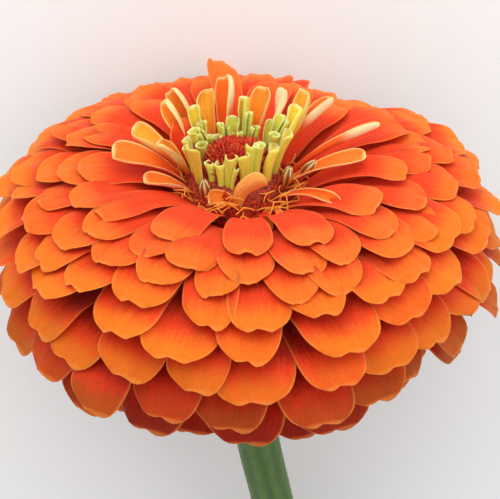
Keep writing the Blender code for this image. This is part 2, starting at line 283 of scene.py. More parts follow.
print("points in one ray blank:", len(ray_blanks[0].data.vertices))

# %% [markdown]
# ## Arithmetic in a node tree
# The rule that bends a blank into place is a few lines of arithmetic. In Geometry Nodes each
# operation is a node, so a small helper wraps each output as a term. Adding or multiplying
# terms adds the node for it, and the rule reads like a formula.

# %% A helper for node arithmetic
def is_wide(value):
    """Whether a value is a vector or a colour, and not one number."""
    return isinstance(value, Vector) or getattr(value, "wide", False)


class Term:
    """One output of a node tree. Arithmetic on terms adds nodes to the tree."""

    def __init__(self, sums, socket, wide=False):
        self.sums, self.socket, self.wide = sums, socket, wide

    def __add__(self, other):
        return self.sums.maths("ADD", self, other)

    def __sub__(self, other):
        return self.sums.maths("SUBTRACT", self, other)

    def __rsub__(self, other):
        return self.sums.maths("SUBTRACT", other, self)

    def __mul__(self, other):
        if self.wide:
            return self.sums.scaled(self, other)
        if is_wide(other):
            return self.sums.scaled(other, self)
        return self.sums.number("MULTIPLY", self, other)

    def __truediv__(self, other):
        return self.sums.number("DIVIDE", self, other)


class Sums:
    """Adds nodes to one tree, feeds them and hands back their outputs as terms."""

    def __init__(self, tree):
        self.tree = tree

    def feed(self, socket, value):
        if isinstance(value, Term):
            self.tree.links.new(value.socket, socket)
        else:
            socket.default_value = value

    def node(self, kind, *values, feeds=(), **settings):
        made = self.tree.nodes.new(kind)
        for key, setting in settings.items():
            setattr(made, key, setting)
        for socket, value in zip(made.inputs, values):
            self.feed(socket, value)
        for key, value in dict(feeds).items():
            self.feed(made.inputs[key], value)
        return made

    def term(self, kind, *values, output=0, wide=False, **more):
        return Term(self, self.node(kind, *values, **more).outputs[output], wide)

    def number(self, operation, *values):
        return self.term("ShaderNodeMath", *values, operation=operation)

    def vector(self, operation, *values):
        return self.term("ShaderNodeVectorMath", *values, wide=True, operation=operation)

    def maths(self, operation, first, second):
        kind = self.vector if is_wide(first) or is_wide(second) else self.number
        return kind(operation, first, second)

    def scaled(self, vector, factor):
        feeds = {"Scale": factor}
        return self.term("ShaderNodeVectorMath", vector, wide=True, operation="SCALE", feeds=feeds)

    def wave(self, angle):
        return self.number("SINE", angle), self.number("COSINE", angle)

    def combined(self, x, y, z):
        return self.term("ShaderNodeCombineXYZ", x, y, z, wide=True)

    def split(self, vector):
        return [Term(self, part) for part in self.node("ShaderNodeSeparateXYZ", vector).outputs]

    def reading(self, name, kind="FLOAT"):
        wide = kind == "FLOAT_VECTOR"
        return self.term("GeometryNodeInputNamedAttribute", name, wide=wide, data_type=kind)


def open_tree(name, kind, inputs, outputs=("Geometry",)):
    """A tree with named inputs, each given by its kind of socket or by its starting number."""
    tree = bpy.data.node_groups.new(name, kind + "NodeTree")
    for label, start in inputs.items():
        sort = start if isinstance(start, str) else "Float"
        socket = tree.interface.new_socket(label, in_out="INPUT", socket_type="NodeSocket" + sort)
        if start != sort:
            socket.default_value = start
    sort = "Geometry" if kind == "Geometry" else "Float"
    for label in outputs:
        tree.interface.new_socket(label, in_out="OUTPUT", socket_type="NodeSocket" + sort)
    sums = Sums(tree)
    return sums, {part.name: Term(sums, part) for part in sums.node("NodeGroupInput").outputs}


def close_tree(sums, geometry, finish):
    """Ends a tree in plain geometry that wears its finish."""
    solid = sums.term("GeometryNodeRealizeInstances", geometry)
    sums.node("NodeGroupOutput", sums.term("GeometryNodeSetMaterial", solid, feeds={"Material": finish}))
    return sums.tree


# %% [markdown]
# ## Growing the blades
# Each blade follows a smooth curve of four control points, in the upright plane of its own
# azimuth. Across that curve it is rolled into an arc: tightly for a quill, and hardly at all
# for an open ray. The plan is a cloud of points, one a blade, whose attributes say how that
# blade grows, so the tree sets one blank on each point and bends them all at once. Where
# the head lies on the surface, the last lines press the blades flat.

# %% The growing tree
def growing_tree():
    sums, given = open_tree("grow_blades", "Geometry", {
        "Plan": "Geometry", "Blanks": "Collection", "Thickness": 0.4,
        "Soft Height": SOFT, "Rest Height": REST, "Finish": "Material",
    })
    read = sums.reading
    stock = sums.term("GeometryNodeCollectionInfo", given["Blanks"], True, True)
    seated = sums.term("GeometryNodeInstanceOnPoints", given["Plan"], feeds={
        "Instance": stock, "Pick Instance": True, "Instance Index": read("blank", "INT"),
    })
    real = sums.term("GeometryNodeRealizeInstances", seated)

    u, t = read("along"), read("across")
    v = 1 - u
    uu, vv = u * u, v * v
    p0, p1, p2, p3 = (read(f"line_{k}", "FLOAT_VECTOR") for k in range(4))
    spot = p0 * (vv * v) + p1 * (vv * u * 3) + p2 * (uu * v * 3) + p3 * (uu * u)
    heading = (p1 - p0) * vv + (p2 - p1) * (u * v * 2) + (p3 - p2) * uu
    radius, height, _ = sums.split(spot)
    outward, rising, _ = sums.split(sums.vector("NORMALIZE", heading))

    sine, cosine = sums.wave(read("yaw") * uu + read("azimuth"))
    out = sums.combined(sine, cosine * -1, 0)
    aside = sums.combined(cosine, sine, 0)
    up = out * (rising * -1) + sums.combined(0, 0, outward)
    sine, cosine = sums.wave(read("roll") * u)
    level = aside * cosine + up * sine
    normal = up * cosine - aside * sine

    root_curl, half = read("root_curl"), read("width") * 0.5
    curl = (read("tip_curl") - root_curl) * u + root_curl
    bow = half * read("spread") / curl
    sine, cosine = sums.wave(curl * (t + read("skew")))
    proud = read("relief") * half + read("side") * (given["Thickness"] * 0.5)
    face_out = normal * cosine - level * sine
    point = out * radius + sums.combined(0, 0, height) + level * (bow * sine)
    point = point + normal * (bow * (1 - cosine)) + face_out * proud + read("seat", "FLOAT_VECTOR")

    x, y, z = sums.split(point)
    x, y, z = sums.split(x * RIGHT + y * BACK + z * AXIS + HEAD_CENTRE / MM)
    soft, rest = given["Soft Height"], given["Rest Height"]
    over, squeeze = z - soft, soft - rest
    below = sums.number("EXPONENT", sums.number("MINIMUM", over, 0) / squeeze)
    z = sums.number("MAXIMUM", over, 0) + (below * squeeze + rest)
    bent = sums.term("GeometryNodeSetPosition", real, feeds={"Position": sums.combined(x, y, z) * MM})
    return close_tree(sums, sums.term("GeometryNodeSetShadeSmooth", bent), given["Finish"])


grow_blades = growing_tree()
print("nodes in the growing tree:", len(grow_blades.nodes))

# %% [markdown]
# The plan of one blade is a small dictionary. It becomes a point with attributes, and the
# grown result is read back as a plain mesh, so nothing live is left on the piece.

# %% From a plan to a grown piece
START_PULL, END_PULL = 0.42, 0.4
pieces = []


def arc_line(root, rise, tip, droop):
    """Control points of a blade's curve as (radius, height), with its slope at both ends."""
    root, tip = Vector(root), Vector(tip)
    reach = (tip - root).length
    start = Vector((math.cos(rise), math.sin(rise)))
    end = Vector((math.cos(droop), math.sin(droop)))
    return root, root + start * reach * START_PULL, tip - end * reach * END_PULL, tip


def kept(name, mesh, node):
    """Links a finished mesh as a piece of the node that it replaces."""
    piece = linked(name, mesh)
    pieces.append((piece, node))
    mesh.calc_loop_triangles()
    print(name, len(mesh.loop_triangles), "triangles")
    return piece


def made_piece(name, mesh, tree, inputs, finish, node):
    """The plain mesh that a tree makes from a plan, kept as a piece."""
    plan = linked(name + "_plan", mesh)
    making = plan.modifiers.new("make", "NODES")
    making.node_group = tree
    sockets = {item.name: item.identifier for item in tree.interface.items_tree}
    for label, value in {**inputs, "Finish": finish}.items():
        making[sockets[label]] = value
    graph = bpy.context.evaluated_depsgraph_get()
    made = bpy.data.meshes.new_from_object(plan.evaluated_get(graph))
    made.name = name
    made.materials.clear()
    made.materials.append(finish)
    bpy.data.objects.remove(plan)
    return kept(name, made, node)


def grown(name, plans, blanks, thickness, finish, node):
    """Grows one blade from each plan, all in one piece."""
    mesh = bpy.data.meshes.new(name + "_plan")
    mesh.from_pydata([(0, 0, 0)] * len(plans), [], [])
    points = {f"line_{k}": [plan["line"][k] for plan in plans] for k in range(4)}
    points["seat"] = [plan.get("seat", (0, 0)) for plan in plans]
    for key, places in points.items():
        flat = [c for place in places for c in (*place, 0)]
        mesh.attributes.new(key, "FLOAT_VECTOR", "POINT").data.foreach_set("vector", flat)
    for key in plans[0]:
        if key not in ("line", "seat"):
            kind = "INT" if key == "blank" else "FLOAT"
            values = [plan[key] for plan in plans]
            mesh.attributes.new(key, kind, "POINT").data.foreach_set("value", values)
    stock = bpy.data.collections.new("stock")
    for blank in blanks:
        stock.objects.link(blank)
    sizes = {"Blanks": stock, "Thickness": thickness, "Soft Height": SOFT, "Rest Height": REST}
    piece = made_piece(name, mesh, grow_blades, sizes, finish, node)
    bpy.data.collections.remove(stock)
    return piece

# %% [markdown]
# ## Where each ray grows
# These are the nine whorls of the solids, with the same seed, so each fine ray springs where
# its solid one does. A row gives the angle of its tips up the dome, the number of rays,
# where the foremost one points, and their width. A few swells push the dome's outline out
# or in, by azimuth, to follow the uneven bloom in the photograph.

# %% The plan of the rays
DOME_RADIUS, DOME_TOP, DOME_BOTTOM, DOME_SQUARE = 52.0, 25.0, 28.0, 2.3
BACK_REACH = 0.015
SWELLS = ((108, 0.065, 18), (148, -0.122, 19), (-112, 0.055, 22), (40, -0.03, 16))
LOW_SWELLS = (
    (-78, 0.04, 26), (-36, 0.06, 12), (-12, -0.04, 12), (48, -0.05, 12), (82, 0.06, 16), (5, 0.03, 40),
)
WHORLS = (
    (54, 13, 1, 9.6), (46, 20, 0, 10.0), (38, 20, 12, 10.8), (29, 24, 4, 11.6), (16, 20, 4, 13.4),
    (1, 24, 3, 13.6), (-14, 22, -3, 13.2), (-30, 16, 1, 14.0), (-45, 12, 12, 13.0),
)


def dome_point(azimuth, angle):
    power = 2 / DOME_SQUARE
    reach = 1 + BACK_REACH * (1 - math.cos(azimuth)) / 2
    for centre, swell, spread in SWELLS + (LOW_SWELLS if angle < -0.1 else ()):
        off = (math.degrees(azimuth) - centre + 180) % 360 - 180
        reach += swell * math.exp(-((off / spread) ** 2))
    height = DOME_TOP if angle > 0 else -DOME_BOTTOM
    return DOME_RADIUS * reach * math.cos(angle) ** power, height * abs(math.sin(angle)) ** power


def ray_plans():
    dice, taste = random.Random(11), random.Random(5)
    whorls = []
    for level, (tip_angle, number, first, width) in enumerate(WHORLS):
        share = level / (len(WHORLS) - 1)
        whorl = []
        for i in range(number):
            azimuth = math.radians(first + 360 * i / number + dice.uniform(-2.5, 2.5))
            angle = math.radians(tip_angle + dice.uniform(-2.5, 2.5))
            droop = math.radians(-8 - 58 * share + dice.uniform(-5, 5))
            rise = math.radians(42 - 47 * share)
            line = arc_line((7.5, 10.4 - 19.4 * share), rise, dome_point(azimuth, angle), droop)
            whorl.append({
                "azimuth": azimuth,
                "line": line,
                "width": width * dice.uniform(0.93, 1.08) * taste.uniform(0.95, 1.08 + 0.16 * share),
                "roll": math.radians(dice.uniform(-9, 9)),
                "yaw": math.radians(dice.uniform(-3, 3)),
                "root_curl": 0.5,
                "tip_curl": -0.03 - 0.28 * taste.random() ** 1.5,
                "reach": (line[3] - line[0]).length * 1.08,
                "tone": taste.uniform(-1, 1),
                "tier": share,
                "warm": (0.2 + 0.8 * share) * (1 - math.cos(azimuth)) / 2,
                "blank": taste.randrange(4) + (4 if level > 2 else 0),
            })
        whorls.append(whorl)
    return whorls


whorls = ray_plans()
print("rays:", sum(len(whorl) for whorl in whorls))

# %% [markdown]
# ## Petal colour
# A ray is red where it leaves the shade of the petal above it, and orange at its rounded
# tip. Fine parallel veins run along it, its surface is matte and a little velvety, and its
# lower side is paler. All of that follows the blade, so the material reads the blade's own
# attributes. The veins serve every petal material, so they are a shared node group.

# %% Shared vein pattern
def noise(sums, place, scale, detail, roughness=0.5):
    feeds = {"Vector": place, "Scale": scale, "Detail": detail, "Roughness": roughness}
    return sums.term("ShaderNodeTexNoise", feeds=feeds)


def vein_group():
    starts = {"Across": 0.0, "Along": 0.0, "Tone": 0.0, "Fineness": 20.0}
    sums, given = open_tree("veins", "Shader", starts, ("Veins", "Blotches"))
    across, along, shifted = given["Across"], given["Along"], given["Tone"] * 7
    run = sums.combined(across * given["Fineness"], along * 3, shifted)
    spot = sums.combined(across, along, shifted)
    sums.node("NodeGroupOutput", noise(sums, run, 1.0, 3.0), noise(sums, spot, 4.0, 4.0))
    return sums.tree


vein_pattern = vein_group()
print("nodes in the vein group:", len(vein_pattern.nodes))

# %% [markdown]
# Close up, all of this soft tissue is finely grained: a speckle of a third of a millimetre on
# a broader mottle. Petals, flesh, buds and stem all show it, so it is a shared node group too,
# on Object coordinates.

# %% Shared grain
GRAIN_ROUGHNESS = 0.6


def grain_group():
    starts = {"Speckles per metre": 2600.0, "Mottles per metre": 500.0, "Stretch": 1.0}
    sums, given = open_tree("grain", "Shader", starts, ("Speckle", "Mottle"))
    place = sums.term("ShaderNodeTexCoord", output="Object", wide=True)
    place = sums.vector("MULTIPLY", place, sums.combined(1, given["Stretch"], 1))
    speckle = noise(sums, place, given["Speckles per metre"], 2.0, GRAIN_ROUGHNESS)
    mottle = noise(sums, place, given["Mottles per metre"], 5.0, GRAIN_ROUGHNESS)
    sums.node("NodeGroupOutput", speckle, mottle)
    return sums.tree


grain = grain_group()


def patterns(sums, group, feeds):
    """Places a shared group in a material and returns its patterns."""
    return [Term(sums, part) for part in sums.node("ShaderNodeGroup", node_tree=group, feeds=feeds).outputs]


def grained(sums, speckles, mottles, stretch=1.0):
    """The speckle and the mottle of the grain group."""
    feeds = {"Speckles per metre": speckles, "Mottles per metre": mottles, "Stretch": stretch}
    return patterns(sums, grain, feeds)


print("nodes in the grain group:", len(grain.nodes))

# %% [markdown]
# One function builds every petal finish from a small dictionary, its look. Colours could be
# painted on each petal, but then each new whorl would need new paint. Here they follow
# from the distance to the tip, the tier of the whorl, the margin and the side of the blade,
# and the veins and the grain break them up. Part of it is painted light: the rays' dark
# lowest whorls and hidden bases are painted shade, their pale margin is partly a painted
# highlight, and light specks of the grain are painted glints.

# %% The petal material
def attribute(sums, name):
    return sums.term("ShaderNodeAttribute", output="Fac", attribute_name=name)


def eased(sums, value, low, high, start=0.0, end=1.0):
    return sums.term("ShaderNodeMapRange", value, low, high, start, end, interpolation_type="SMOOTHSTEP")


def mixed(sums, factor, first, second):
    first, second = ((*c, 1) if isinstance(c, tuple) else c for c in (first, second))
    feeds = {"Factor": factor, "A": first, "B": second}
    return sums.term("ShaderNodeMix", output="Result", wide=True, feeds=feeds, data_type="RGBA")


def roughen(sums, shader, height, strength, lift):
    """Feeds a bump of the given height to the shader."""
    feeds = {"Height": height, "Strength": strength, "Distance": lift}
    sums.feed(shader.inputs["Normal"], sums.term("ShaderNodeBump", feeds=feeds))


def petal_material(name, look):
    """One petal finish: colours by distance from the tip, tier, edge and lower side; painted shade, edge
    highlight and glints.
    """
    material, shader = new_material(name)
    sums = Sums(material.node_tree)
    along, across, reach, tone, tier, side, warm = (
        attribute(sums, key) for key in ("along", "across", "reach", "tone", "tier", "side", "warm")
    )
    from_tip = (1 - along) * reach
    feeds = {"Across": across, "Along": along, "Tone": tone, "Fineness": look["fineness"]}
    veins, blotches = patterns(sums, vein_pattern, feeds)
    speckle, mottle = grained(sums, 3000.0, 420.0)
    ragged = (veins - 0.5) * look["streak"] + from_tip
    ragged = (mottle - 0.5) * (look["streak"] * 0.8) + ragged

    near, far = look["fade"]
    upper = mixed(sums, eased(sums, tier, 0.0, 0.5), look["tip"], look["tip_outer"])
    # For the rays the lowest whorls take the dark tip_skirt: painted shade on the skirt under the bloom.
    # Other finishes give their lowest tier its own colour here.
    lower = mixed(sums, eased(sums, tier, 0.52, 0.86), upper, look["tip_skirt"])
    tip = mixed(sums, warm * 0.9, lower, look["warm"])
    # The root also darkens towards root_skirt on the lower whorls; for the rays that is painted shade.
    root = mixed(sums, eased(sums, tier, 0.6, 0.9, 0.0, 0.7), look["root"], look["root_skirt"])
    tip = mixed(sums, eased(sums, tone, -0.2, 1.0, 0.0, look["redness"]), tip, root)
    body = mixed(sums, eased(sums, ragged, near, far), tip, root)
    # Far from the tip, where the blade runs under the petal above, the colour darkens towards root_skirt: for
    # the middle and lower ray whorls that is painted shade.
    base_and_painted_shade = mixed(sums, eased(sums, tier, 0.3, 0.7), root, look["root_skirt"])
    body = mixed(sums, eased(sums, ragged, far * 0.8, far * 1.5), body, base_and_painted_shade)

    # The margin and the last millimetre of the tip take the rim colour: the spoons', quills' and bracts' own
    # margins, and for the rays partly a paler margin and partly a painted highlight along the thin edge.
    edge = eased(sums, sums.number("ABSOLUTE", across), look["rim_from"], 1.0)
    rim = sums.number("MAXIMUM", edge, eased(sums, from_tip, 0.9, 0.1))
    body = mixed(sums, rim * look["rim_strength"], body, look["rim"])
    shade = tone * look["variety"] + 1
    for pattern, depth in ((blotches, 0.2), (veins, look["vein_depth"]), (mottle, 0.2), (speckle, 0.2)):
        shade = (pattern - 0.5) * depth + shade
    # Light specks of the grain lift the colour towards the rim colour, most on the upper whorls: painted
    # glints on the tiny bumps of the petal.
    painted_glints = eased(sums, speckle, 0.48, 0.72) * eased(sums, tier, 0.5, 0.85, look["speckle"], 0.02)
    body = mixed(sums, painted_glints, body, look["rim"]) * shade

    under = mixed(sums, eased(sums, tier, 0.1, 0.9), look["under"], look["under_outer"])
    share = eased(sums, from_tip, *look["under_fade"], look["under_mix"], 1.0)
    under = mixed(sums, share, under * shade, body)
    skin = mixed(sums, eased(sums, side, -0.6, -0.2), under, body)
    sums.feed(shader.inputs["Base Color"], skin)
    sums.feed(shader.inputs["Roughness"], blotches * 0.18 + (look["roughness"] - 0.09))
    roughen(sums, shader, speckle * 0.5 + (veins + mottle), 0.35, look["bump"])
    shader.inputs["Subsurface Weight"].default_value = look["glow"]
    shader.inputs["Subsurface Radius"].default_value = (1.0, 0.25, 0.07)
    shader.inputs["Subsurface Scale"].default_value = 0.002
    shader.inputs["Specular IOR Level"].default_value = 0.1
    shader.inputs["Sheen Weight"].default_value = 0.03
    shader.inputs["Sheen Roughness"].default_value = 0.5
    return material


# In the rays, tip_skirt and root_skirt are dark: painted shade on the lowest whorls, the skirt under the
# bloom.
ray_look = {
    "tip": (0.84, 0.140, 0.016), "tip_outer": (0.86, 0.175, 0.008), "tip_skirt": (0.21, 0.0125, 0.003),
    "root": (0.79, 0.045, 0.009), "root_skirt": (0.31, 0.009, 0.003), "warm": (0.88, 0.25, 0.022),
    "under": (0.90, 0.30, 0.08), "under_outer": (0.80, 0.18, 0.03), "under_mix": 0.45,
    # The rays' rim colour is partly their paler margin and partly a painted highlight on the thin edge.
    "under_fade": (40.0, 60.0), "rim": (0.92, 0.30, 0.06), "redness": 0.45,
    "fade": (1.5, 7.5), "streak": 5.0, "rim_from": 0.91, "rim_strength": 0.38, "variety": 0.05,
    # speckle sets how strong the painted glints are.
    "vein_depth": 0.26, "speckle": 0.12, "fineness": 13.0, "roughness": 0.6, "bump": 0.0005, "glow": 0.35,
}
ray_orange = petal_material("ray_orange", ray_look)

print("ray finish:", ray_orange.name, len(ray_orange.node_tree.nodes), "nodes")

# %% [markdown]
# ## The rays
# The whorls are grown in three pieces, upper, middle and lower, so no mesh gets too heavy.

# %% Grow the rays
BLADE_THICKNESS, THIN_THICKNESS, BRACT_THICKNESS = 0.35, 0.3, 0.7
for k, name in enumerate(("rays_upper", "rays_middle", "rays_lower")):
    plans = [plan for whorl in whorls[3 * k:3 * k + 3] for plan in whorl]
    grown(name, plans, ray_blanks, BLADE_THICKNESS, ray_orange, "ray_petals")

# %% [markdown]
# ## Florets and spoons, placed one by one
# Round the disc the young florets stand as they like: closed lime tubes, yellow quills with
# an open mouth, and orange spoons with cream margins. No rule gives those, so each one is
# set where the photograph shows its tip. A pixel alone leaves the depth open. The root's
# place on its ring and the judged lean away from the axis settle that.

# %% From a tip in the photograph to a blade in space
SEAT = (-2.0, 0.0)
PICTURE_WIDTH = 500
PICTURE_CENTRE = (245, 244)
PIXELS = LENS / SENSOR * PICTURE_WIDTH
NUDGE = 0.01
STEADINESS = 25


def in_photo(place):
    """Where a point of the upright head shows in the photograph, in pixels."""
    up = math.sin(VIEW_RISE) * place.y + math.cos(VIEW_RISE) * place.z
    depth = VIEW_REACH + math.cos(VIEW_RISE) * place.y - math.sin(VIEW_RISE) * place.z
    x, y = PICTURE_CENTRE
    return Vector((x + PIXELS * place.x / depth, y - PIXELS * up / depth))


def around(azimuth, radius, height):
    return Vector((SEAT[0] + math.sin(azimuth) * radius, SEAT[1] - math.cos(azimuth) * radius, height))


def tip_in_space(tip, azimuth, root, lean):
    """The azimuth and (radius, height) of a blade's tip, by closing in on its pixel."""
    turn, length = azimuth, 8.0

    def tip_at(length):
        return root[0] + length * math.sin(lean), root[1] + length * math.cos(lean)

    def seen(turn, length):
        return in_photo(around(turn, *tip_at(length)))

    for _ in range(60):
        here = seen(turn, length)
        miss = Vector(tip) - here
        by_turn = (seen(turn + NUDGE, length) - here) / NUDGE
        by_length = (seen(turn, length + NUDGE) - here) / NUDGE
        fit = Matrix((
            (by_turn.dot(by_turn) + STEADINESS, by_turn.dot(by_length)),
            (by_turn.dot(by_length), by_length.dot(by_length)),
        ))
        step = fit.inverted() @ Vector((by_turn.dot(miss), by_length.dot(miss)))
        turn += max(-0.2, min(0.2, step.x))
        length = max(1.5, length + max(-2, min(2, step.y)))
    return turn, tip_at(length), length


def seen_blade(row, root_height, closing, blanks):
    """One blade's plan from a row: tip, root azimuth and ring, lean, width, curl, skew, roll, tier."""
    x, y, azimuth, ring, lean, width, curl, skew, roll, tier = row
    azimuth, lean = math.radians(azimuth), math.radians(lean)
    root = (ring, root_height)
    turn, tip, length = tip_in_space((x, y), azimuth, root, lean)
    bend = 0.08 + 0.25 * math.sin(lean) ** 2
    across = curl / math.sin(curl) if curl < math.pi / 2 else curl
    half = len(blanks) // 2
    return {
        "azimuth": azimuth, "yaw": turn - azimuth, "width": width * across, "roll": roll,
        "line": arc_line(root, math.pi / 2 - lean + bend, tip, math.pi / 2 - lean - bend),
        "root_curl": min(3.0, curl + closing), "tip_curl": curl, "skew": skew, "reach": length,
        "tone": taste.uniform(-1, 1), "tier": tier, "seat": SEAT,
        "blank": taste.randrange(half) + (half if curl > 2.05 else 0),
    }


print("a pixel of the photograph in mm, at the head:", round(VIEW_REACH / PIXELS, 3))

# %% [markdown]
# A tube could be a curve with a round profile, but then it couldn't open. So it is a blade
# rolled almost shut, and one with less curl is an open quill. Each row gives the tip's
# pixel, the root's azimuth and ring, the lean, the width, the curl, the skew, the roll and
# the tier, which takes the colour from lime towards orange.

# %% Tubes and quills
TUBES = (
    (190, 129, -112, 7.8, 12, 1.9, 2.8, 0, -0.5, 0.15),
    (197, 130, -122, 7.6, 6, 1.9, 2.8, 0, -0.5, 0.30),
    (197, 143, -98, 7.2, 4, 1.8, 2.9, 0, -0.6, 0.0),
    (193, 105, -125, 8.4, 20, 2.6, 1.9, -0.2, -0.7, 0.45),
    (208, 147, -128, 6.6, 0, 1.1, 2.9, 0, -0.6, 0.0),
    (215, 134, -152, 7.0, 4, 1.8, 2.9, 0, -0.3, 0.05),
    (225, 125, -166, 7.2, 6, 2.0, 2.7, 0, -0.2, 0.05),
    (232, 115, -176, 7.8, 10, 2.8, 1.7, 0.1, 0, 0.10),
    (231, 132, -172, 6.8, 0, 1.2, 2.9, 0, 0, 0.0),
    (241, 131, 172, 6.8, 0, 1.2, 2.9, 0, 0, 0.0),
    (243, 96, 170, 8.2, 20, 2.2, 2.5, -0.2, 0.2, 0.35),
    (250, 111, 162, 7.8, 12, 1.7, 2.8, 0, 0.2, 0.10),
    (257, 125, 150, 7.6, 8, 1.9, 2.9, 0, 0.4, 0.05),
    (247, 137, 164, 6.7, 0, 0.9, 2.9, 0, 0, 0.0),
    (272, 119, 128, 7.8, 12, 1.9, 1.7, 0, 0.6, 0.0),
    (283, 114, 118, 8.2, 16, 2.2, 1.6, 0, 0.6, 0.10),
    (279, 133, 98, 8.0, 6, 1.8, 2.8, 0, 0.6, 0.10),
    (299, 105, 100, 8.6, 26, 2.8, 1.9, -0.2, 0.7, 0.45),
    (294, 134, 78, 8.6, 18, 3.4, 1.5, 0, 0.2, 0.30),
    (280, 147, 56, 8.4, 8, 3.0, 1.9, 0, 0.3, 0.50),
    (264, 146, 36, 7.8, 0, 2.1, 2.4, 0, 0.3, 0.05),
    (256, 147, 24, 7.6, -2, 2.0, 2.3, 0, 0, 0.10),
    (248, 156, 16, 8.0, 2, 2.6, 1.6, 0, 0.5, 0.35),
    (230, 160, -10, 7.8, 2, 2.5, 2.2, 0.1, 0, 0.05),
    (237, 170, -4, 8.2, 2, 0.9, 2.3, 0, 0, 0.20),
    (217, 166, -22, 7.8, 3, 2.0, 2.4, 0, 0, 0.10),
    (205, 164, -42, 7.4, 2, 1.8, 2.5, 0, 0, 0.0),
    (188, 149, -56, 9.2, 16, 4.2, 1.0, 0, 0, 0.45),
    (179, 152, -76, 8.8, 18, 1.2, 2.5, 0, 0, 0.0),
    (288, 120, 108, 8.2, 18, 1.7, 2.7, 0, 0.6, 0.10),
    (200, 121, -128, 8.0, 12, 1.5, 2.8, 0, -0.4, 0.10),
    (219, 122, -160, 7.8, 9, 1.4, 2.8, 0, 0, 0.10),
    (184, 138, -92, 9.0, 18, 1.8, 2.4, 0, -0.4, 0.35),
    (207, 135, -135, 7.0, 4, 1.2, 2.9, 0, 0, 0.05),
)
taste = random.Random(23)
tube_plans = [seen_blade(row, 18.4, 0.5, quill_blanks) for row in TUBES]
quill_look = dict(
    ray_look, tip=(0.67, 0.68, 0.09), tip_outer=(0.80, 0.54, 0.030), tip_skirt=(0.90, 0.28, 0.020),
    root=(0.60, 0.50, 0.05), root_skirt=(0.60, 0.50, 0.05), under=(0.68, 0.63, 0.075),
    under_outer=(0.80, 0.55, 0.045), under_mix=0.1,
    rim=(0.86, 0.84, 0.42), rim_from=0.72, rim_strength=0.75, fade=(2.0, 9.0), streak=4.0, fineness=8.0,
    vein_depth=0.35, variety=0.08, redness=0.0, speckle=0.2, warm=(0.9, 0.6, 0.1),
)
quill_lime = petal_material("quill_lime", quill_look)
grown("florets", tube_plans, quill_blanks, THIN_THICKNESS, quill_lime, "quill_florets")

# %% [markdown]
# The spoons stand outside the tubes and lean further out. One margin of most is folded
# over, and shows the cream skin of its back: the skew of the roll does that.

# %% Spoons
SPOONS = (
    (170, 90, -135, 9.2, 36, 3.9, 1.75, -0.38, -0.8, 0.60),
    (163, 101, -118, 9.0, 36, 3.4, 1.7, -0.38, -1.0, 0.55),
    (207, 89, -150, 9.0, 26, 4.2, 1.6, 0.36, -0.5, 0.15),
    (224, 76, -168, 9.2, 30, 4.6, 1.7, -0.46, -0.2, 1.0),
    (260, 86, 160, 8.8, 26, 4.2, 1.35, -0.34, 0.4, 0.40),
    (283, 88, 142, 9.0, 30, 3.2, 0.6, 0, 3.4, 1.0),
    (303, 89, 118, 9.0, 34, 3.7, 1.7, -0.36, 0.9, 0.10),
    (331, 98, 124, 9.4, 50, 3.6, 1.6, -0.38, 0.2, 1.0),
    (379, 125, 98, 9.6, 66, 2.6, 1.9, -0.34, 0.2, 1.0),
    (366, 155, 80, 9.4, 64, 4.8, 0.5, 0, 0.1, 0.95),
    (341, 206, 56, 10.0, 74, 2.8, 1.2, 0.2, 0.2, 1.0),
    (133, 127, -98, 9.2, 50, 4.4, 1.5, 0.30, -0.7, 0.25),
    (158, 142, -88, 8.8, 32, 3.0, 1.7, 0.2, -0.5, 0.35),
    (112, 151, -84, 9.4, 58, 6.6, 0.6, 0.1, -0.3, 0.8),
    (144, 180, -64, 9.4, 62, 4.4, 0.9, 0.1, -0.3, 1.0),
)
spoon_plans = [seen_blade(row, 15.2, 0.6, ray_blanks) for row in SPOONS]
spoon_look = dict(
    ray_look, tip=(0.88, 0.42, 0.035), tip_outer=(0.90, 0.26, 0.018), tip_skirt=(0.88, 0.17, 0.016),
    root=(0.86, 0.10, 0.012), root_skirt=(0.78, 0.07, 0.010), under=(0.78, 0.62, 0.16),
    under_outer=(0.92, 0.70, 0.38), under_mix=0.08,
    rim=(0.92, 0.66, 0.26), rim_from=0.82, rim_strength=0.7, fineness=9.0, fade=(3.0, 16.0), redness=0.0,
    vein_depth=0.3, under_fade=(4.5, 9.0),
)
spoon_orange = petal_material("spoon_orange", spoon_look)
grown("inner_rays", spoon_plans, ray_blanks, BLADE_THICKNESS, spoon_orange, "ray_petals")

# %% [markdown]
# A few rays grow out of line, and give this bloom its own face. One is twisted over in front
# of the disc with a curled tongue beside it, one stands behind with a raised corner, and
# short ones curl between. Each row gives the root's place, the heading, the four points of
# the curve, width, roll, the two curls and the skew.

# %% Rays out of line
ODD_RAYS = (
    ((1.2, -9.6), 90, ((-1.8, 14.0), (-2.2, 18.0), (-0.2, 20.4), (3.4, 21.2)), 5.6, -0.3, 1.6, 1.1, -0.9),
    ((-1.4, -10.8), -94, ((-1.2, 14.0), (1.0, 17.6), (3.2, 17.3), (6.0, 16.6)), 3.2, 0.0, 0.9, 0.7, -1.2),
    ((0, 0), 30, ((11.5, 15), (12.5, 16.2), (13.4, 16.4), (14.5, 15.4)), 1.5, 0.4, 0.8, 0.4, 0.0),
    ((0, 0), -170, ((8, 12), (15, 20), (24, 25), (31, 26.4)), 8.4, 0.6, 0.5, 0.2, 0.0),
    ((0, 0), 17, ((10, 13.5), (12.5, 16.5), (16, 17), (19, 14.5)), 3.4, 1.5, 0.8, 0.5, 0.0),
)
UPRIGHT = (178, 120, -94, 10.6, 14, 6.2, 0.8, 0, -0.5, 0.0)


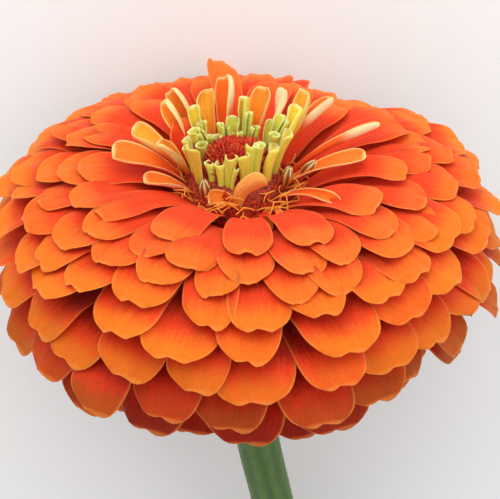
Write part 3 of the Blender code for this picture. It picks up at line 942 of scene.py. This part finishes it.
def odd_plans():
    plans = [seen_blade(UPRIGHT, 13.6, 0.6, ray_blanks)]
    for seat, azimuth, line, width, roll, root_curl, tip_curl, skew in ODD_RAYS:
        plans.append(dict(
            plans[0], azimuth=math.radians(azimuth), yaw=0.0, width=width, roll=roll, skew=skew,
            line=[Vector(point) for point in line], root_curl=root_curl, tip_curl=tip_curl,
            tone=0.0, seat=seat, blank=len(plans) % 4,
        ))
    for plan in plans:
        plan["warm"] = 0.3
    return plans


upright, *odd_rays = odd_plans()
upright["reach"], upright["tone"] = 48.0, 0.8
folded, standing = odd_rays[:3], odd_rays[3:] + [upright]
for plan in folded:
    plan["tier"] = 1.0
folded_look = dict(
    spoon_look, under=(0.83, 0.36, 0.075), under_outer=(0.83, 0.36, 0.075), under_fade=(30.0, 40.0),
    rim_from=0.86, streak=9.0, vein_depth=0.9,
)
folded_orange = petal_material("folded_orange", folded_look)
grown("folded_rays", folded, ray_blanks, THIN_THICKNESS, folded_orange, "ray_petals")
grown("odd_rays", standing, ray_blanks, BLADE_THICKNESS, ray_orange, "ray_petals")

# %% [markdown]
# ## Receptacle and collar
# All the rays and florets spring from one fleshy cone, the receptacle. Little of it shows,
# but it closes the gap between the blades. It is turned: a profile swept round the axis,
# with a slightly uneven radius so that it doesn't look machined.

# %% Turned shapes
def bridged(rings, segments):
    """The corners of each face between one ring and the next. A ring of one point is a tip."""
    for low, high in zip(rings, rings[1:]):
        for k in range(segments):
            low_pair = low[k % len(low)], low[(k + 1) % len(low)]
            high_pair = high[(k + 1) % len(high)], high[k % len(high)]
            corners = list(dict.fromkeys(low_pair + high_pair))
            if len(corners) > 2:
                yield corners


def turned_mesh(name, profile, seed, uneven=0.02, segments=72):
    """A closed mesh from (radius, height) points, uneven by a share of the radius."""
    dice = random.Random(seed)
    waves = [(dice.randint(2, 9), dice.uniform(0, 6.28), dice.uniform(0.3, 1)) for _ in range(5)]
    verts, rings = [], []
    for radius, height in profile:
        ring = []
        for k in range(segments if radius else 1):
            turn = 2 * math.pi * k / segments
            swell = sum(size * math.sin(count * turn + start + height) for count, start, size in waves)
            r = radius * (1 + uneven * swell / 3)
            ring.append(len(verts))
            verts.append((math.sin(turn) * r, -math.cos(turn) * r, height))
        rings.append(ring)
    mesh = bpy.data.meshes.new(name)
    mesh.from_pydata(verts, [], list(bridged(rings + rings[:1], segments)))
    return mesh


def laid_down(mesh, seat=(0, 0), firm=False):
    """Moves an upright mesh in millimetres to where the head lies, on the surface.

    A soft part is eased up as the blades are, and a firm one only stops at the surface.
    """
    shape = bmesh.new()
    shape.from_mesh(mesh)
    for vert in shape.verts:
        place = HEAD @ (vert.co + Vector((*seat, 0)))
        over = place.z / MM - SOFT
        if firm:
            place.z = max(place.z, FIRM_REST * MM)
        elif over < 0:
            place.z = (REST + (SOFT - REST) * math.exp(over / (SOFT - REST))) * MM
        vert.co = place
    if shape.calc_volume(signed=True) < 0:
        bmesh.ops.reverse_faces(shape, faces=shape.faces)
    for face in shape.faces:
        face.smooth = True
    shape.to_mesh(mesh)
    shape.free()


def seated_piece(name, mesh, material, node, seat=(0, 0), firm=False):
    laid_down(mesh, seat, firm)
    mesh.materials.append(material)
    return kept(name, mesh, node)


def flesh_material(name, dark, light, mottles, roughness, lift):
    """A soft mottled finish on Object coordinates, for parts that are not blades."""
    material, shader = new_material(name)
    sums = Sums(material.node_tree)
    speckle, mottle = grained(sums, mottles * 3.0, mottles)
    level = (speckle - 0.5) * 0.4 + mottle
    sums.feed(shader.inputs["Base Color"], mixed(sums, eased(sums, level, 0.3, 0.7), dark, light))
    sums.feed(shader.inputs["Roughness"], eased(sums, mottle, 0.2, 0.8, roughness + 0.1, roughness - 0.1))
    roughen(sums, shader, level, 0.5, lift)
    shader.inputs["Specular IOR Level"].default_value = 0.3
    return material


crater_red = flesh_material("crater_red", (0.12, 0.010, 0.005), (0.52, 0.055, 0.014), 1300, 0.7, 0.0006)
disc_red = flesh_material("disc_red", (0.26, 0.010, 0.008), (0.58, 0.030, 0.016), 700, 0.65, 0.0004)

receptacle = turned_mesh("receptacle", [
    (0, -11.4), (8.8, -11.4), (9.9, -9.5), (10.1, -2), (9.6, 6), (10.0, 11), (9.4, 13.2),
    (8, 13.6), (0, 13.6),
], 3)
seated_piece("receptacle", receptacle, crater_red, "ray_petals")
collar = turned_mesh("floret_collar", [
    (11.8, 13.4), (11.4, 14.4), (10.6, 15.8), (9.7, 17.6), (8.8, 18.8), (7.6, 19.3), (6.9, 19.2), (6.8, 13.4),
], 4)
seated_piece("floret_collar", collar, crater_red, "quill_florets", SEAT)

# %% [markdown]
# ## The red disc
# The disc in the middle is a low cushion of pointed scales. New ones form at the middle and
# push the rest outwards, each a golden angle on from the last, so they fall into spirals.
# Each scale is a small blade, so the same growing tree sets them.

# %% Disc
GOLDEN_ANGLE = math.radians(137.508)
DISC_SCALES = 230
DISC_RADIUS = 6.8


def disc_height(radius):
    return 14 + 8.8 * (1 - (radius / 7.5) ** 10)


def disc_plans():
    taste = random.Random(31)
    plans = []
    for i in range(DISC_SCALES):
        radius = DISC_RADIUS * math.sqrt((i + 0.5) / DISC_SCALES)
        base = disc_height(radius)
        lean = 0.5 * radius / DISC_RADIUS
        size = taste.uniform(1.2, 2.1)
        root = (radius * 0.92, base - 1.4)
        tip = (radius + size * lean * 0.8, base - 0.5 + size * 0.75)
        plans.append({
            "azimuth": GOLDEN_ANGLE * i,
            "line": arc_line(root, math.radians(88), tip, math.radians(80 - 40 * lean)),
            "width": taste.uniform(0.8, 1.2), "roll": taste.uniform(-0.5, 0.5), "yaw": 0.0,
            "root_curl": 0.6, "tip_curl": 0.9, "reach": 3.0, "tone": taste.uniform(-1, 1),
            "tier": taste.random() ** 2, "blank": 0, "seat": SEAT,
        })
    return plans


scale_look = dict(
    ray_look, tip=(0.60, 0.028, 0.018), tip_outer=(0.72, 0.070, 0.02), tip_skirt=(0.74, 0.16, 0.03),
    root=(0.36, 0.012, 0.010), root_skirt=(0.40, 0.020, 0.010), under=(0.52, 0.03, 0.015),
    rim=(0.72, 0.08, 0.03), rim_from=0.3,
    rim_strength=0.4, fade=(0.3, 2.0), streak=0.5, fineness=4.0, variety=0.2, vein_depth=0.2, glow=0.1,
)
scale_red = petal_material("scale_red", scale_look)
cushion_radii = (6.8, 6.5, 6.1, 5.6, 4.6, 3.4, 1.8, 0)
dome = [(0, 14.0), (6.6, 14.0)] + [(r, disc_height(r) - 0.5) for r in cushion_radii]
seated_piece("disc_cushion", turned_mesh("disc_cushion", dome, 6), disc_red, "disc", SEAT)
grown("disc_scales", disc_plans(), scale_blanks, BLADE_THICKNESS, scale_red, "disc")

# %% [markdown]
# Between the florets and the rays lies a narrow ring of dry red-brown scales. They stand
# close together and hide the receptacle.

# %% Crater scales
CRATER_SCALES = 420


def crater_floor(radius):
    return 19.4 - 1.75 * (radius - 8.2)


def crater_plans():
    taste = random.Random(37)
    plans = []
    for i in range(CRATER_SCALES):
        radius = 8.5 + 3.3 * math.sqrt(taste.random())
        foot = crater_floor(radius)
        out = taste.uniform(0.1, 1.3)
        plans.append({
            "azimuth": GOLDEN_ANGLE * i + taste.uniform(-0.1, 0.1),
            "line": arc_line(
                (radius, foot - 2.5), math.radians(75),
                (radius + out, foot + taste.uniform(0.3, 2.0)), math.radians(70),
            ),
            "width": taste.uniform(0.7, 1.7), "roll": taste.uniform(-0.9, 0.9), "yaw": 0.0,
            "root_curl": 0.5, "tip_curl": taste.uniform(-0.8, 1.0), "reach": 4.5,
            "tone": taste.uniform(-1, 1), "tier": taste.random() * 0.6, "blank": 0, "seat": SEAT,
        })
    return plans


grown("crater_scales", crater_plans(), scale_blanks, THIN_THICKNESS, scale_red, "quill_florets")

# %% [markdown]
# ## Threads
# Each ray carries a style with two curled tips, and the fresh ones show as orange threads
# round the florets. A thread is a path of points with a thickness. The tree turns the path
# into a curve, sweeps a small ring along it, and caps its ends.

# %% The thread tree
def thread_tree():
    sorts = {"Paths": "Geometry", "Sides": "Int", "Finish": "Material"}
    sums, given = open_tree("spin_threads", "Geometry", sorts)
    curves = sums.term("GeometryNodeMeshToCurve", given["Paths"])
    round_ring = {"Resolution": given["Sides"], "Radius": MM}
    ring = sums.term("GeometryNodeCurvePrimitiveCircle", mode="RADIUS", feeds=round_ring)
    swept = {"Scale": sums.reading("girth"), "Fill Caps": True}
    tube = sums.term("GeometryNodeCurveToMesh", curves, ring, feeds=swept)
    return close_tree(sums, sums.term("GeometryNodeSetShadeSmooth", tube), given["Finish"])


spin_threads = thread_tree()


def spun(name, paths, sides, finish, node):
    """Threads from paths, each a list of (point in millimetres, radius in millimetres)."""
    verts = [HEAD @ Vector(point) for path in paths for point, _ in path]
    edges, start = [], 0
    for path in paths:
        edges += [(start + k, start + k + 1) for k in range(len(path) - 1)]
        start += len(path)
    mesh = bpy.data.meshes.new(name + "_plan")
    mesh.from_pydata(verts, edges, [])
    girth = [radius for path in paths for _, radius in path]
    mesh.attributes.new("girth", "FLOAT", "POINT").data.foreach_set("value", girth)
    return made_piece(name, mesh, spin_threads, {"Sides": sides}, finish, node)


print("nodes in the thread tree:", len(spin_threads.nodes))

# %% [markdown]
# A style is a short trunk that bends as it rises, with two tips that curl apart. Modelling
# sixty of them by hand would be slow, and copies would look alike. So each path is walked
# step by step, and a little chance in the heading makes every thread its own.

# %% Styles
STYLES = 60
STYLE_RADIUS = 0.17
TRUNK_STEP, FORK_STEP = 0.46, 0.34


def style_paths():
    taste = random.Random(41)
    paths = []
    for i in range(STYLES):
        azimuth = math.radians(taste.uniform(-85, 100) if i % 5 else taste.uniform(110, 250))
        radius = taste.uniform(9.6, 11.8)
        trunk = [around(azimuth, radius, crater_floor(radius) - 0.3)]
        lean, bend = taste.uniform(-0.5, 0.5), taste.uniform(-0.25, 0.25)
        rise = taste.uniform(0.5, 1.4)
        heading = Vector((math.sin(azimuth + lean), -math.cos(azimuth + lean), rise)).normalized()
        for _ in range(7):
            heading = (heading + Vector((bend, bend * 0.5, taste.uniform(-0.2, 0.1)))).normalized()
            trunk.append(trunk[-1] + heading * TRUNK_STEP)
        paths.append([(point, STYLE_RADIUS) for point in trunk])
        for side in (-1, 1):
            turn = Vector((math.cos(azimuth), math.sin(azimuth), 0.2)) * side * 0.42
            fork, way = [trunk[-1] - heading * 0.1], heading.copy()
            for _ in range(8):
                way = (way + turn + Vector((0, 0, -0.10))).normalized()
                turn = turn * 0.9 + Vector((math.sin(azimuth), -math.cos(azimuth), 0)) * 0.05
                fork.append(fork[-1] + way * FORK_STEP)
            paths.append([(point, STYLE_RADIUS - 0.008 * k) for k, point in enumerate(fork)])
    return paths


style_orange = flesh_material("style_orange", (0.80, 0.20, 0.02), (0.92, 0.42, 0.05), 1500, 0.5, 0.0001)
spun("styles", style_paths(), 6, style_orange, "quill_florets")

# %% [markdown]
# A few florets have not opened yet. They are slender spindles of five folded lobes, pale
# along each lobe and dark brown in the grooves between. Each stands on a short stalk in the
# crater.

# %% Buds
BUDS = ((-38, 9.3, 15.0, 8, 6.0), (66, 10.6, 15.6, 12, 6.6), (84, 12.4, 16.6, 38, 6.2))
BUD_PROFILE = (
    (0, 0), (0.3, 0.02), (0.35, 0.3), (0.8, 0.45), (1, 0.62), (0.92, 0.78), (0.6, 0.92),
    (0.3, 1.0), (0, 0.94),
)
BUD_SEGMENTS, BUD_GIRTH, BUD_LOBES = 30, 1.08, 5


def bud_material():
    material, shader = new_material("bud_brown")
    sums = Sums(material.node_tree)
    rise, lobe = attribute(sums, "rise"), attribute(sums, "lobe")
    speckle, _ = grained(sums, 1400.0, 500.0)
    level = speckle * 0.5 + lobe * 0.5
    body = mixed(sums, eased(sums, level, -0.1, 0.7), (0.19, 0.036, 0.008), (0.64, 0.28, 0.05))
    tip = mixed(sums, eased(sums, level, 0.0, 0.6), (0.24, 0.12, 0.03), (0.74, 0.58, 0.24))
    high = eased(sums, speckle * 0.2 + rise, 0.75, 1.05)
    sums.feed(shader.inputs["Base Color"], mixed(sums, high, body, tip))
    sums.feed(shader.inputs["Roughness"], eased(sums, speckle, 0.2, 0.8, 0.5, 0.3))
    return material


def bud_mesh():
    """All the buds in one mesh, each a lobed spindle along its own leaning axis."""
    shape = bmesh.new()
    rise, lobe = (shape.verts.layers.float.new(key) for key in ("rise", "lobe"))
    for azimuth, radius, foot, lean, length in BUDS:
        azimuth, lean = math.radians(azimuth), math.radians(lean)
        lean_out = math.sin(lean)
        way = Vector((math.sin(azimuth) * lean_out, -math.cos(azimuth) * lean_out, math.cos(lean)))
        aside = way.cross(Vector((0, 0, 1))).normalized()
        across, rings = way.cross(aside), []
        for girth, share in BUD_PROFILE:
            ring = []
            for k in range(BUD_SEGMENTS if girth else 1):
                turn = 2 * math.pi * k / BUD_SEGMENTS
                fold = math.cos(BUD_LOBES * turn + share * 1.5)
                r = girth * BUD_GIRTH * (1 + 0.16 * fold * share)
                lift = 0.06 * fold * max(0, share - 0.8) * 5
                place = around(azimuth, radius, foot) + way * (share + lift) * length
                vert = shape.verts.new(place + (aside * math.cos(turn) + across * math.sin(turn)) * r)
                vert[rise], vert[lobe] = share, fold
                ring.append(vert)
            rings.append(ring)
        for corners in bridged(rings, BUD_SEGMENTS):
            shape.faces.new(corners)
    return meshed(shape, "buds")


seated_piece("buds", bud_mesh(), bud_material(), "quill_florets")

# %% [markdown]
# ## The green cup
# Under the rays sits the involucre, a cup of overlapping green bracts with dark, rounded
# rims. It doesn't show in the photograph, but whoever picks the flower up sees it. The cup
# is turned, and four rows of bracts grow over it.

# %% Cup and bracts
CUP_TOP, CUP_BOTTOM = -11.7, -27.7
CUP_PROFILE = ((12.3, CUP_TOP), (13.2, -14.6), (12.9, -18), (11.2, -22), (8.2, -25.4), (5.5, CUP_BOTTOM))
BRACT_ROWS = (
    (-25.0, -19.6, 9, 7.4), (-22.6, -16.4, 10, 8.4), (-19.6, -13.6, 11, 8.6), (-16.6, -11.6, 12, 8.2),
)


def cup_radius(height):
    heights = [z for _, z in reversed(CUP_PROFILE)]
    return float(np.interp(height, heights, [r for r, _ in reversed(CUP_PROFILE)]))


def bract_plans():
    taste = random.Random(53)
    plans = []
    for level, (foot, top, count, width) in enumerate(BRACT_ROWS):
        for i in range(count):
            end = top + taste.uniform(-0.3, 0.1)
            slope = math.atan2(2, cup_radius(foot + 2) - cup_radius(foot))
            finish = math.atan2(2, cup_radius(end) - cup_radius(end - 2))
            root = (cup_radius(foot) - 0.1, foot)
            plans.append({
                "azimuth": 2 * math.pi * (i + 0.5 * level) / count + taste.uniform(-0.04, 0.04),
                "line": arc_line(root, slope, (cup_radius(end) + 0.25, end), finish),
                "width": width * taste.uniform(0.95, 1.05), "roll": 0.0, "yaw": 0.0,
                "root_curl": 0.45, "tip_curl": 0.30, "reach": end - foot,
                "tone": taste.uniform(-1, 1), "tier": level / 3, "blank": taste.randrange(len(bract_blanks)),
            })
    return plans


bract_look = dict(
    ray_look, tip=(0.055, 0.085, 0.020), tip_outer=(0.075, 0.13, 0.025), tip_skirt=(0.10, 0.17, 0.035),
    root=(0.12, 0.20, 0.05), root_skirt=(0.12, 0.20, 0.05), under=(0.09, 0.16, 0.035),
    rim=(0.030, 0.020, 0.010), rim_from=0.78,
    rim_strength=0.9, fade=(0.6, 2.5), streak=0.8, fineness=9.0, vein_depth=0.3, glow=0.05, variety=0.12,
)
bract_green = petal_material("bract_green", bract_look)
cup_green = flesh_material("cup_green", (0.07, 0.13, 0.028), (0.13, 0.21, 0.045), 350, 0.55, 0.0003)
cup = [(0, CUP_BOTTOM)] + [(r - 0.4, z) for r, z in reversed(CUP_PROFILE)] + [(0, CUP_TOP)]
seated_piece("cup", turned_mesh("cup", cup, 8, 0.012), cup_green, "bract_cup")
grown("bracts", bract_plans(), bract_blanks, BRACT_THICKNESS, bract_green, "bract_cup")

# %% [markdown]
# ## The stem
# The stem runs from the cup down to the surface, and ends in the cut, where a ring of green
# flesh surrounds soft pale pith. Shallow ribs run along it. It follows the path of the
# solid, so ring after ring is set square to that path.

# %% Stem
STEM_RADIUS, STEM_BEND, STEM_RIBS, PITH_DEPTH = 4.6, 0.24, 9, 2.5


def stem_point(down):
    return Vector((STEM_BEND * down * down / (down + 28), 0, CUP_BOTTOM - 0.3 - down))


STEM_REACH = (HEAD_CENTRE.z / MM - STEM_RADIUS * 0.88) / math.sin(FACE_UP) + CUP_BOTTOM - 0.3
print("stem length in mm:", round(STEM_REACH, 1))


def stem_stations(steps):
    """Each ring's distance down the stem, its share of the radius and how near the pith it is."""
    floor = STEM_REACH - PITH_DEPTH
    skin = [(STEM_REACH * k / steps, 1.0, 0) for k in range(steps)]
    return [(-0.02, 0.0, 0), (-0.02, 0.7, 0), *skin] + [
        (STEM_REACH - 0.15, 0.99, 0), (STEM_REACH, 0.955, 0.2), (STEM_REACH, 0.82, 0.5),
        (STEM_REACH - 0.1, 0.68, 0.8), (STEM_REACH - 0.7, 0.63, 1), (STEM_REACH - 1.9, 0.60, 1),
        (floor, 0.45, 1), (floor + 0.2, 0.2, 1), (floor, 0, 1),
    ]


def stem_mesh(steps=90, segments=64):
    shape = bmesh.new()
    core, around_axis = (shape.verts.layers.float.new(key) for key in ("core", "around"))
    rings = []
    for down, girth, inner in stem_stations(steps):
        down = max(down, 0)
        centre, share = stem_point(down), down / STEM_REACH
        heading = (stem_point(down + 0.5) - centre).normalized()
        aside = Vector((0, 1, 0))
        across = heading.cross(aside)
        radius = STEM_RADIUS * (1.06 - 0.1 * share) * (1 + 0.10 * math.exp(-down / 2.5))
        ring = []
        for k in range(segments if girth else 1):
            turn = 2 * math.pi * k / segments
            crest = math.cos(STEM_RIBS * turn + share * 2.5)
            rib = 0.022 * crest + 0.010 * math.cos(4 * turn - share * 4)
            r = radius * girth * (0.985 + (1 - inner) * rib + 0.006 * math.sin(share * 31 + turn))
            vert = shape.verts.new(centre + (aside * math.cos(turn) + across * math.sin(turn)) * r)
            vert[core], vert[around_axis] = inner, crest
            ring.append(vert)
        rings.append(ring)
    for corners in bridged(rings, segments):
        shape.faces.new(corners)
    return meshed(shape, "stem_flesh")


def stem_material():
    material, shader = new_material("stem_green_ribbed")
    sums = Sums(material.node_tree)
    streaks, mottle = grained(sums, 2600.0, 600.0, 0.12)
    rib, core = attribute(sums, "around"), attribute(sums, "core")
    level = rib * 0.16 + (mottle * 0.5 + streaks * 0.5)
    skin = mixed(sums, eased(sums, level, 0.2, 0.85), (0.036, 0.092, 0.009), (0.078, 0.158, 0.018))
    flesh = mixed(sums, eased(sums, core, 0.05, 0.35), skin, (0.34, 0.44, 0.14))
    body = mixed(sums, eased(sums, core, 0.5, 0.95), flesh, (0.66, 0.66, 0.40))
    sums.feed(shader.inputs["Base Color"], body)
    sums.feed(shader.inputs["Roughness"], eased(sums, mottle, 0.2, 0.8, 0.62, 0.42))
    roughen(sums, shader, streaks, 0.4, 0.0003)
    return material


stem = seated_piece("stem_flesh", stem_mesh(), stem_material(), "stem", firm=True)

# %% [markdown]
# Fine stiff hairs cover the stem and catch the light along its edge. The tree scatters
# points over the stem's mesh, stands a slender cone on each, and leans it by chance. None
# grows in the cut, or just above the surface where the stem's end lies.

# %% Stem hairs
HAIR_LENGTH = 0.4 * MM
HAIR_FOOT, HAIR_TIP = 0.00005, 0.00001
HAIR_LEAN = 0.6
HAIRS_PER_SQUARE_METRE = 520000.0
HAIR_CLEARANCE = 1.2 * MM


def hair_tree():
    sums, given = open_tree("sow_hairs", "Geometry", {
        "Surface": "Geometry", "Per Square Metre": HAIRS_PER_SQUARE_METRE, "Length": HAIR_LENGTH,
        "Seed": "Int", "Finish": "Material",
    })
    height = sums.split(sums.term("GeometryNodeInputPosition"))[2]
    clear = sums.number("GREATER_THAN", height, HAIR_CLEARANCE)
    outer = sums.number("LESS_THAN", sums.reading("core"), 0.1) * clear
    sowing = {"Density": given["Per Square Metre"], "Seed": given["Seed"]}
    sown = sums.node("GeometryNodeDistributePointsOnFaces", given["Surface"], outer, feeds=sowing)
    points, upright = (Term(sums, sown.outputs[key]) for key in ("Points", "Rotation"))
    spike = sums.term("GeometryNodeMeshCone", feeds={
        "Vertices": 4, "Side Segments": 2, "Radius Top": HAIR_TIP, "Radius Bottom": HAIR_FOOT,
        "Depth": given["Length"],
    })
    least, most = (-HAIR_LEAN,) * 3, (HAIR_LEAN,) * 3
    chance = {"data_type": "FLOAT_VECTOR", "feeds": {"Seed": given["Seed"]}}
    lean = sums.term("FunctionNodeRandomValue", least, most, **chance)
    swung = sums.term("FunctionNodeRotateRotation", upright, lean, rotation_space="LOCAL")
    standing = {"Instance": spike, "Rotation": swung}
    seated = sums.term("GeometryNodeInstanceOnPoints", points, feeds=standing)
    return close_tree(sums, seated, given["Finish"])


sow_hairs = hair_tree()
hair_pale = flesh_material("hair_pale", (0.14, 0.24, 0.06), (0.30, 0.42, 0.16), 500, 0.5, 0.0001)
sowing = {"Per Square Metre": HAIRS_PER_SQUARE_METRE, "Length": HAIR_LENGTH, "Seed": 7}
made_piece("stem_hairs", stem.data.copy(), sow_hairs, sowing, hair_pale, "stem")

# %% [markdown]
# ## One body
# Nothing on a flower moves by itself, so every piece rides on the one root body. Each also
# hides the solid that it stands for. The blanks have done their work, so they go.

# %% Finish
for piece, node in pieces:
    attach(piece, "root")
    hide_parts(node)
for blank in ray_blanks + quill_blanks + bract_blanks + scale_blanks:
    bpy.data.objects.remove(blank)
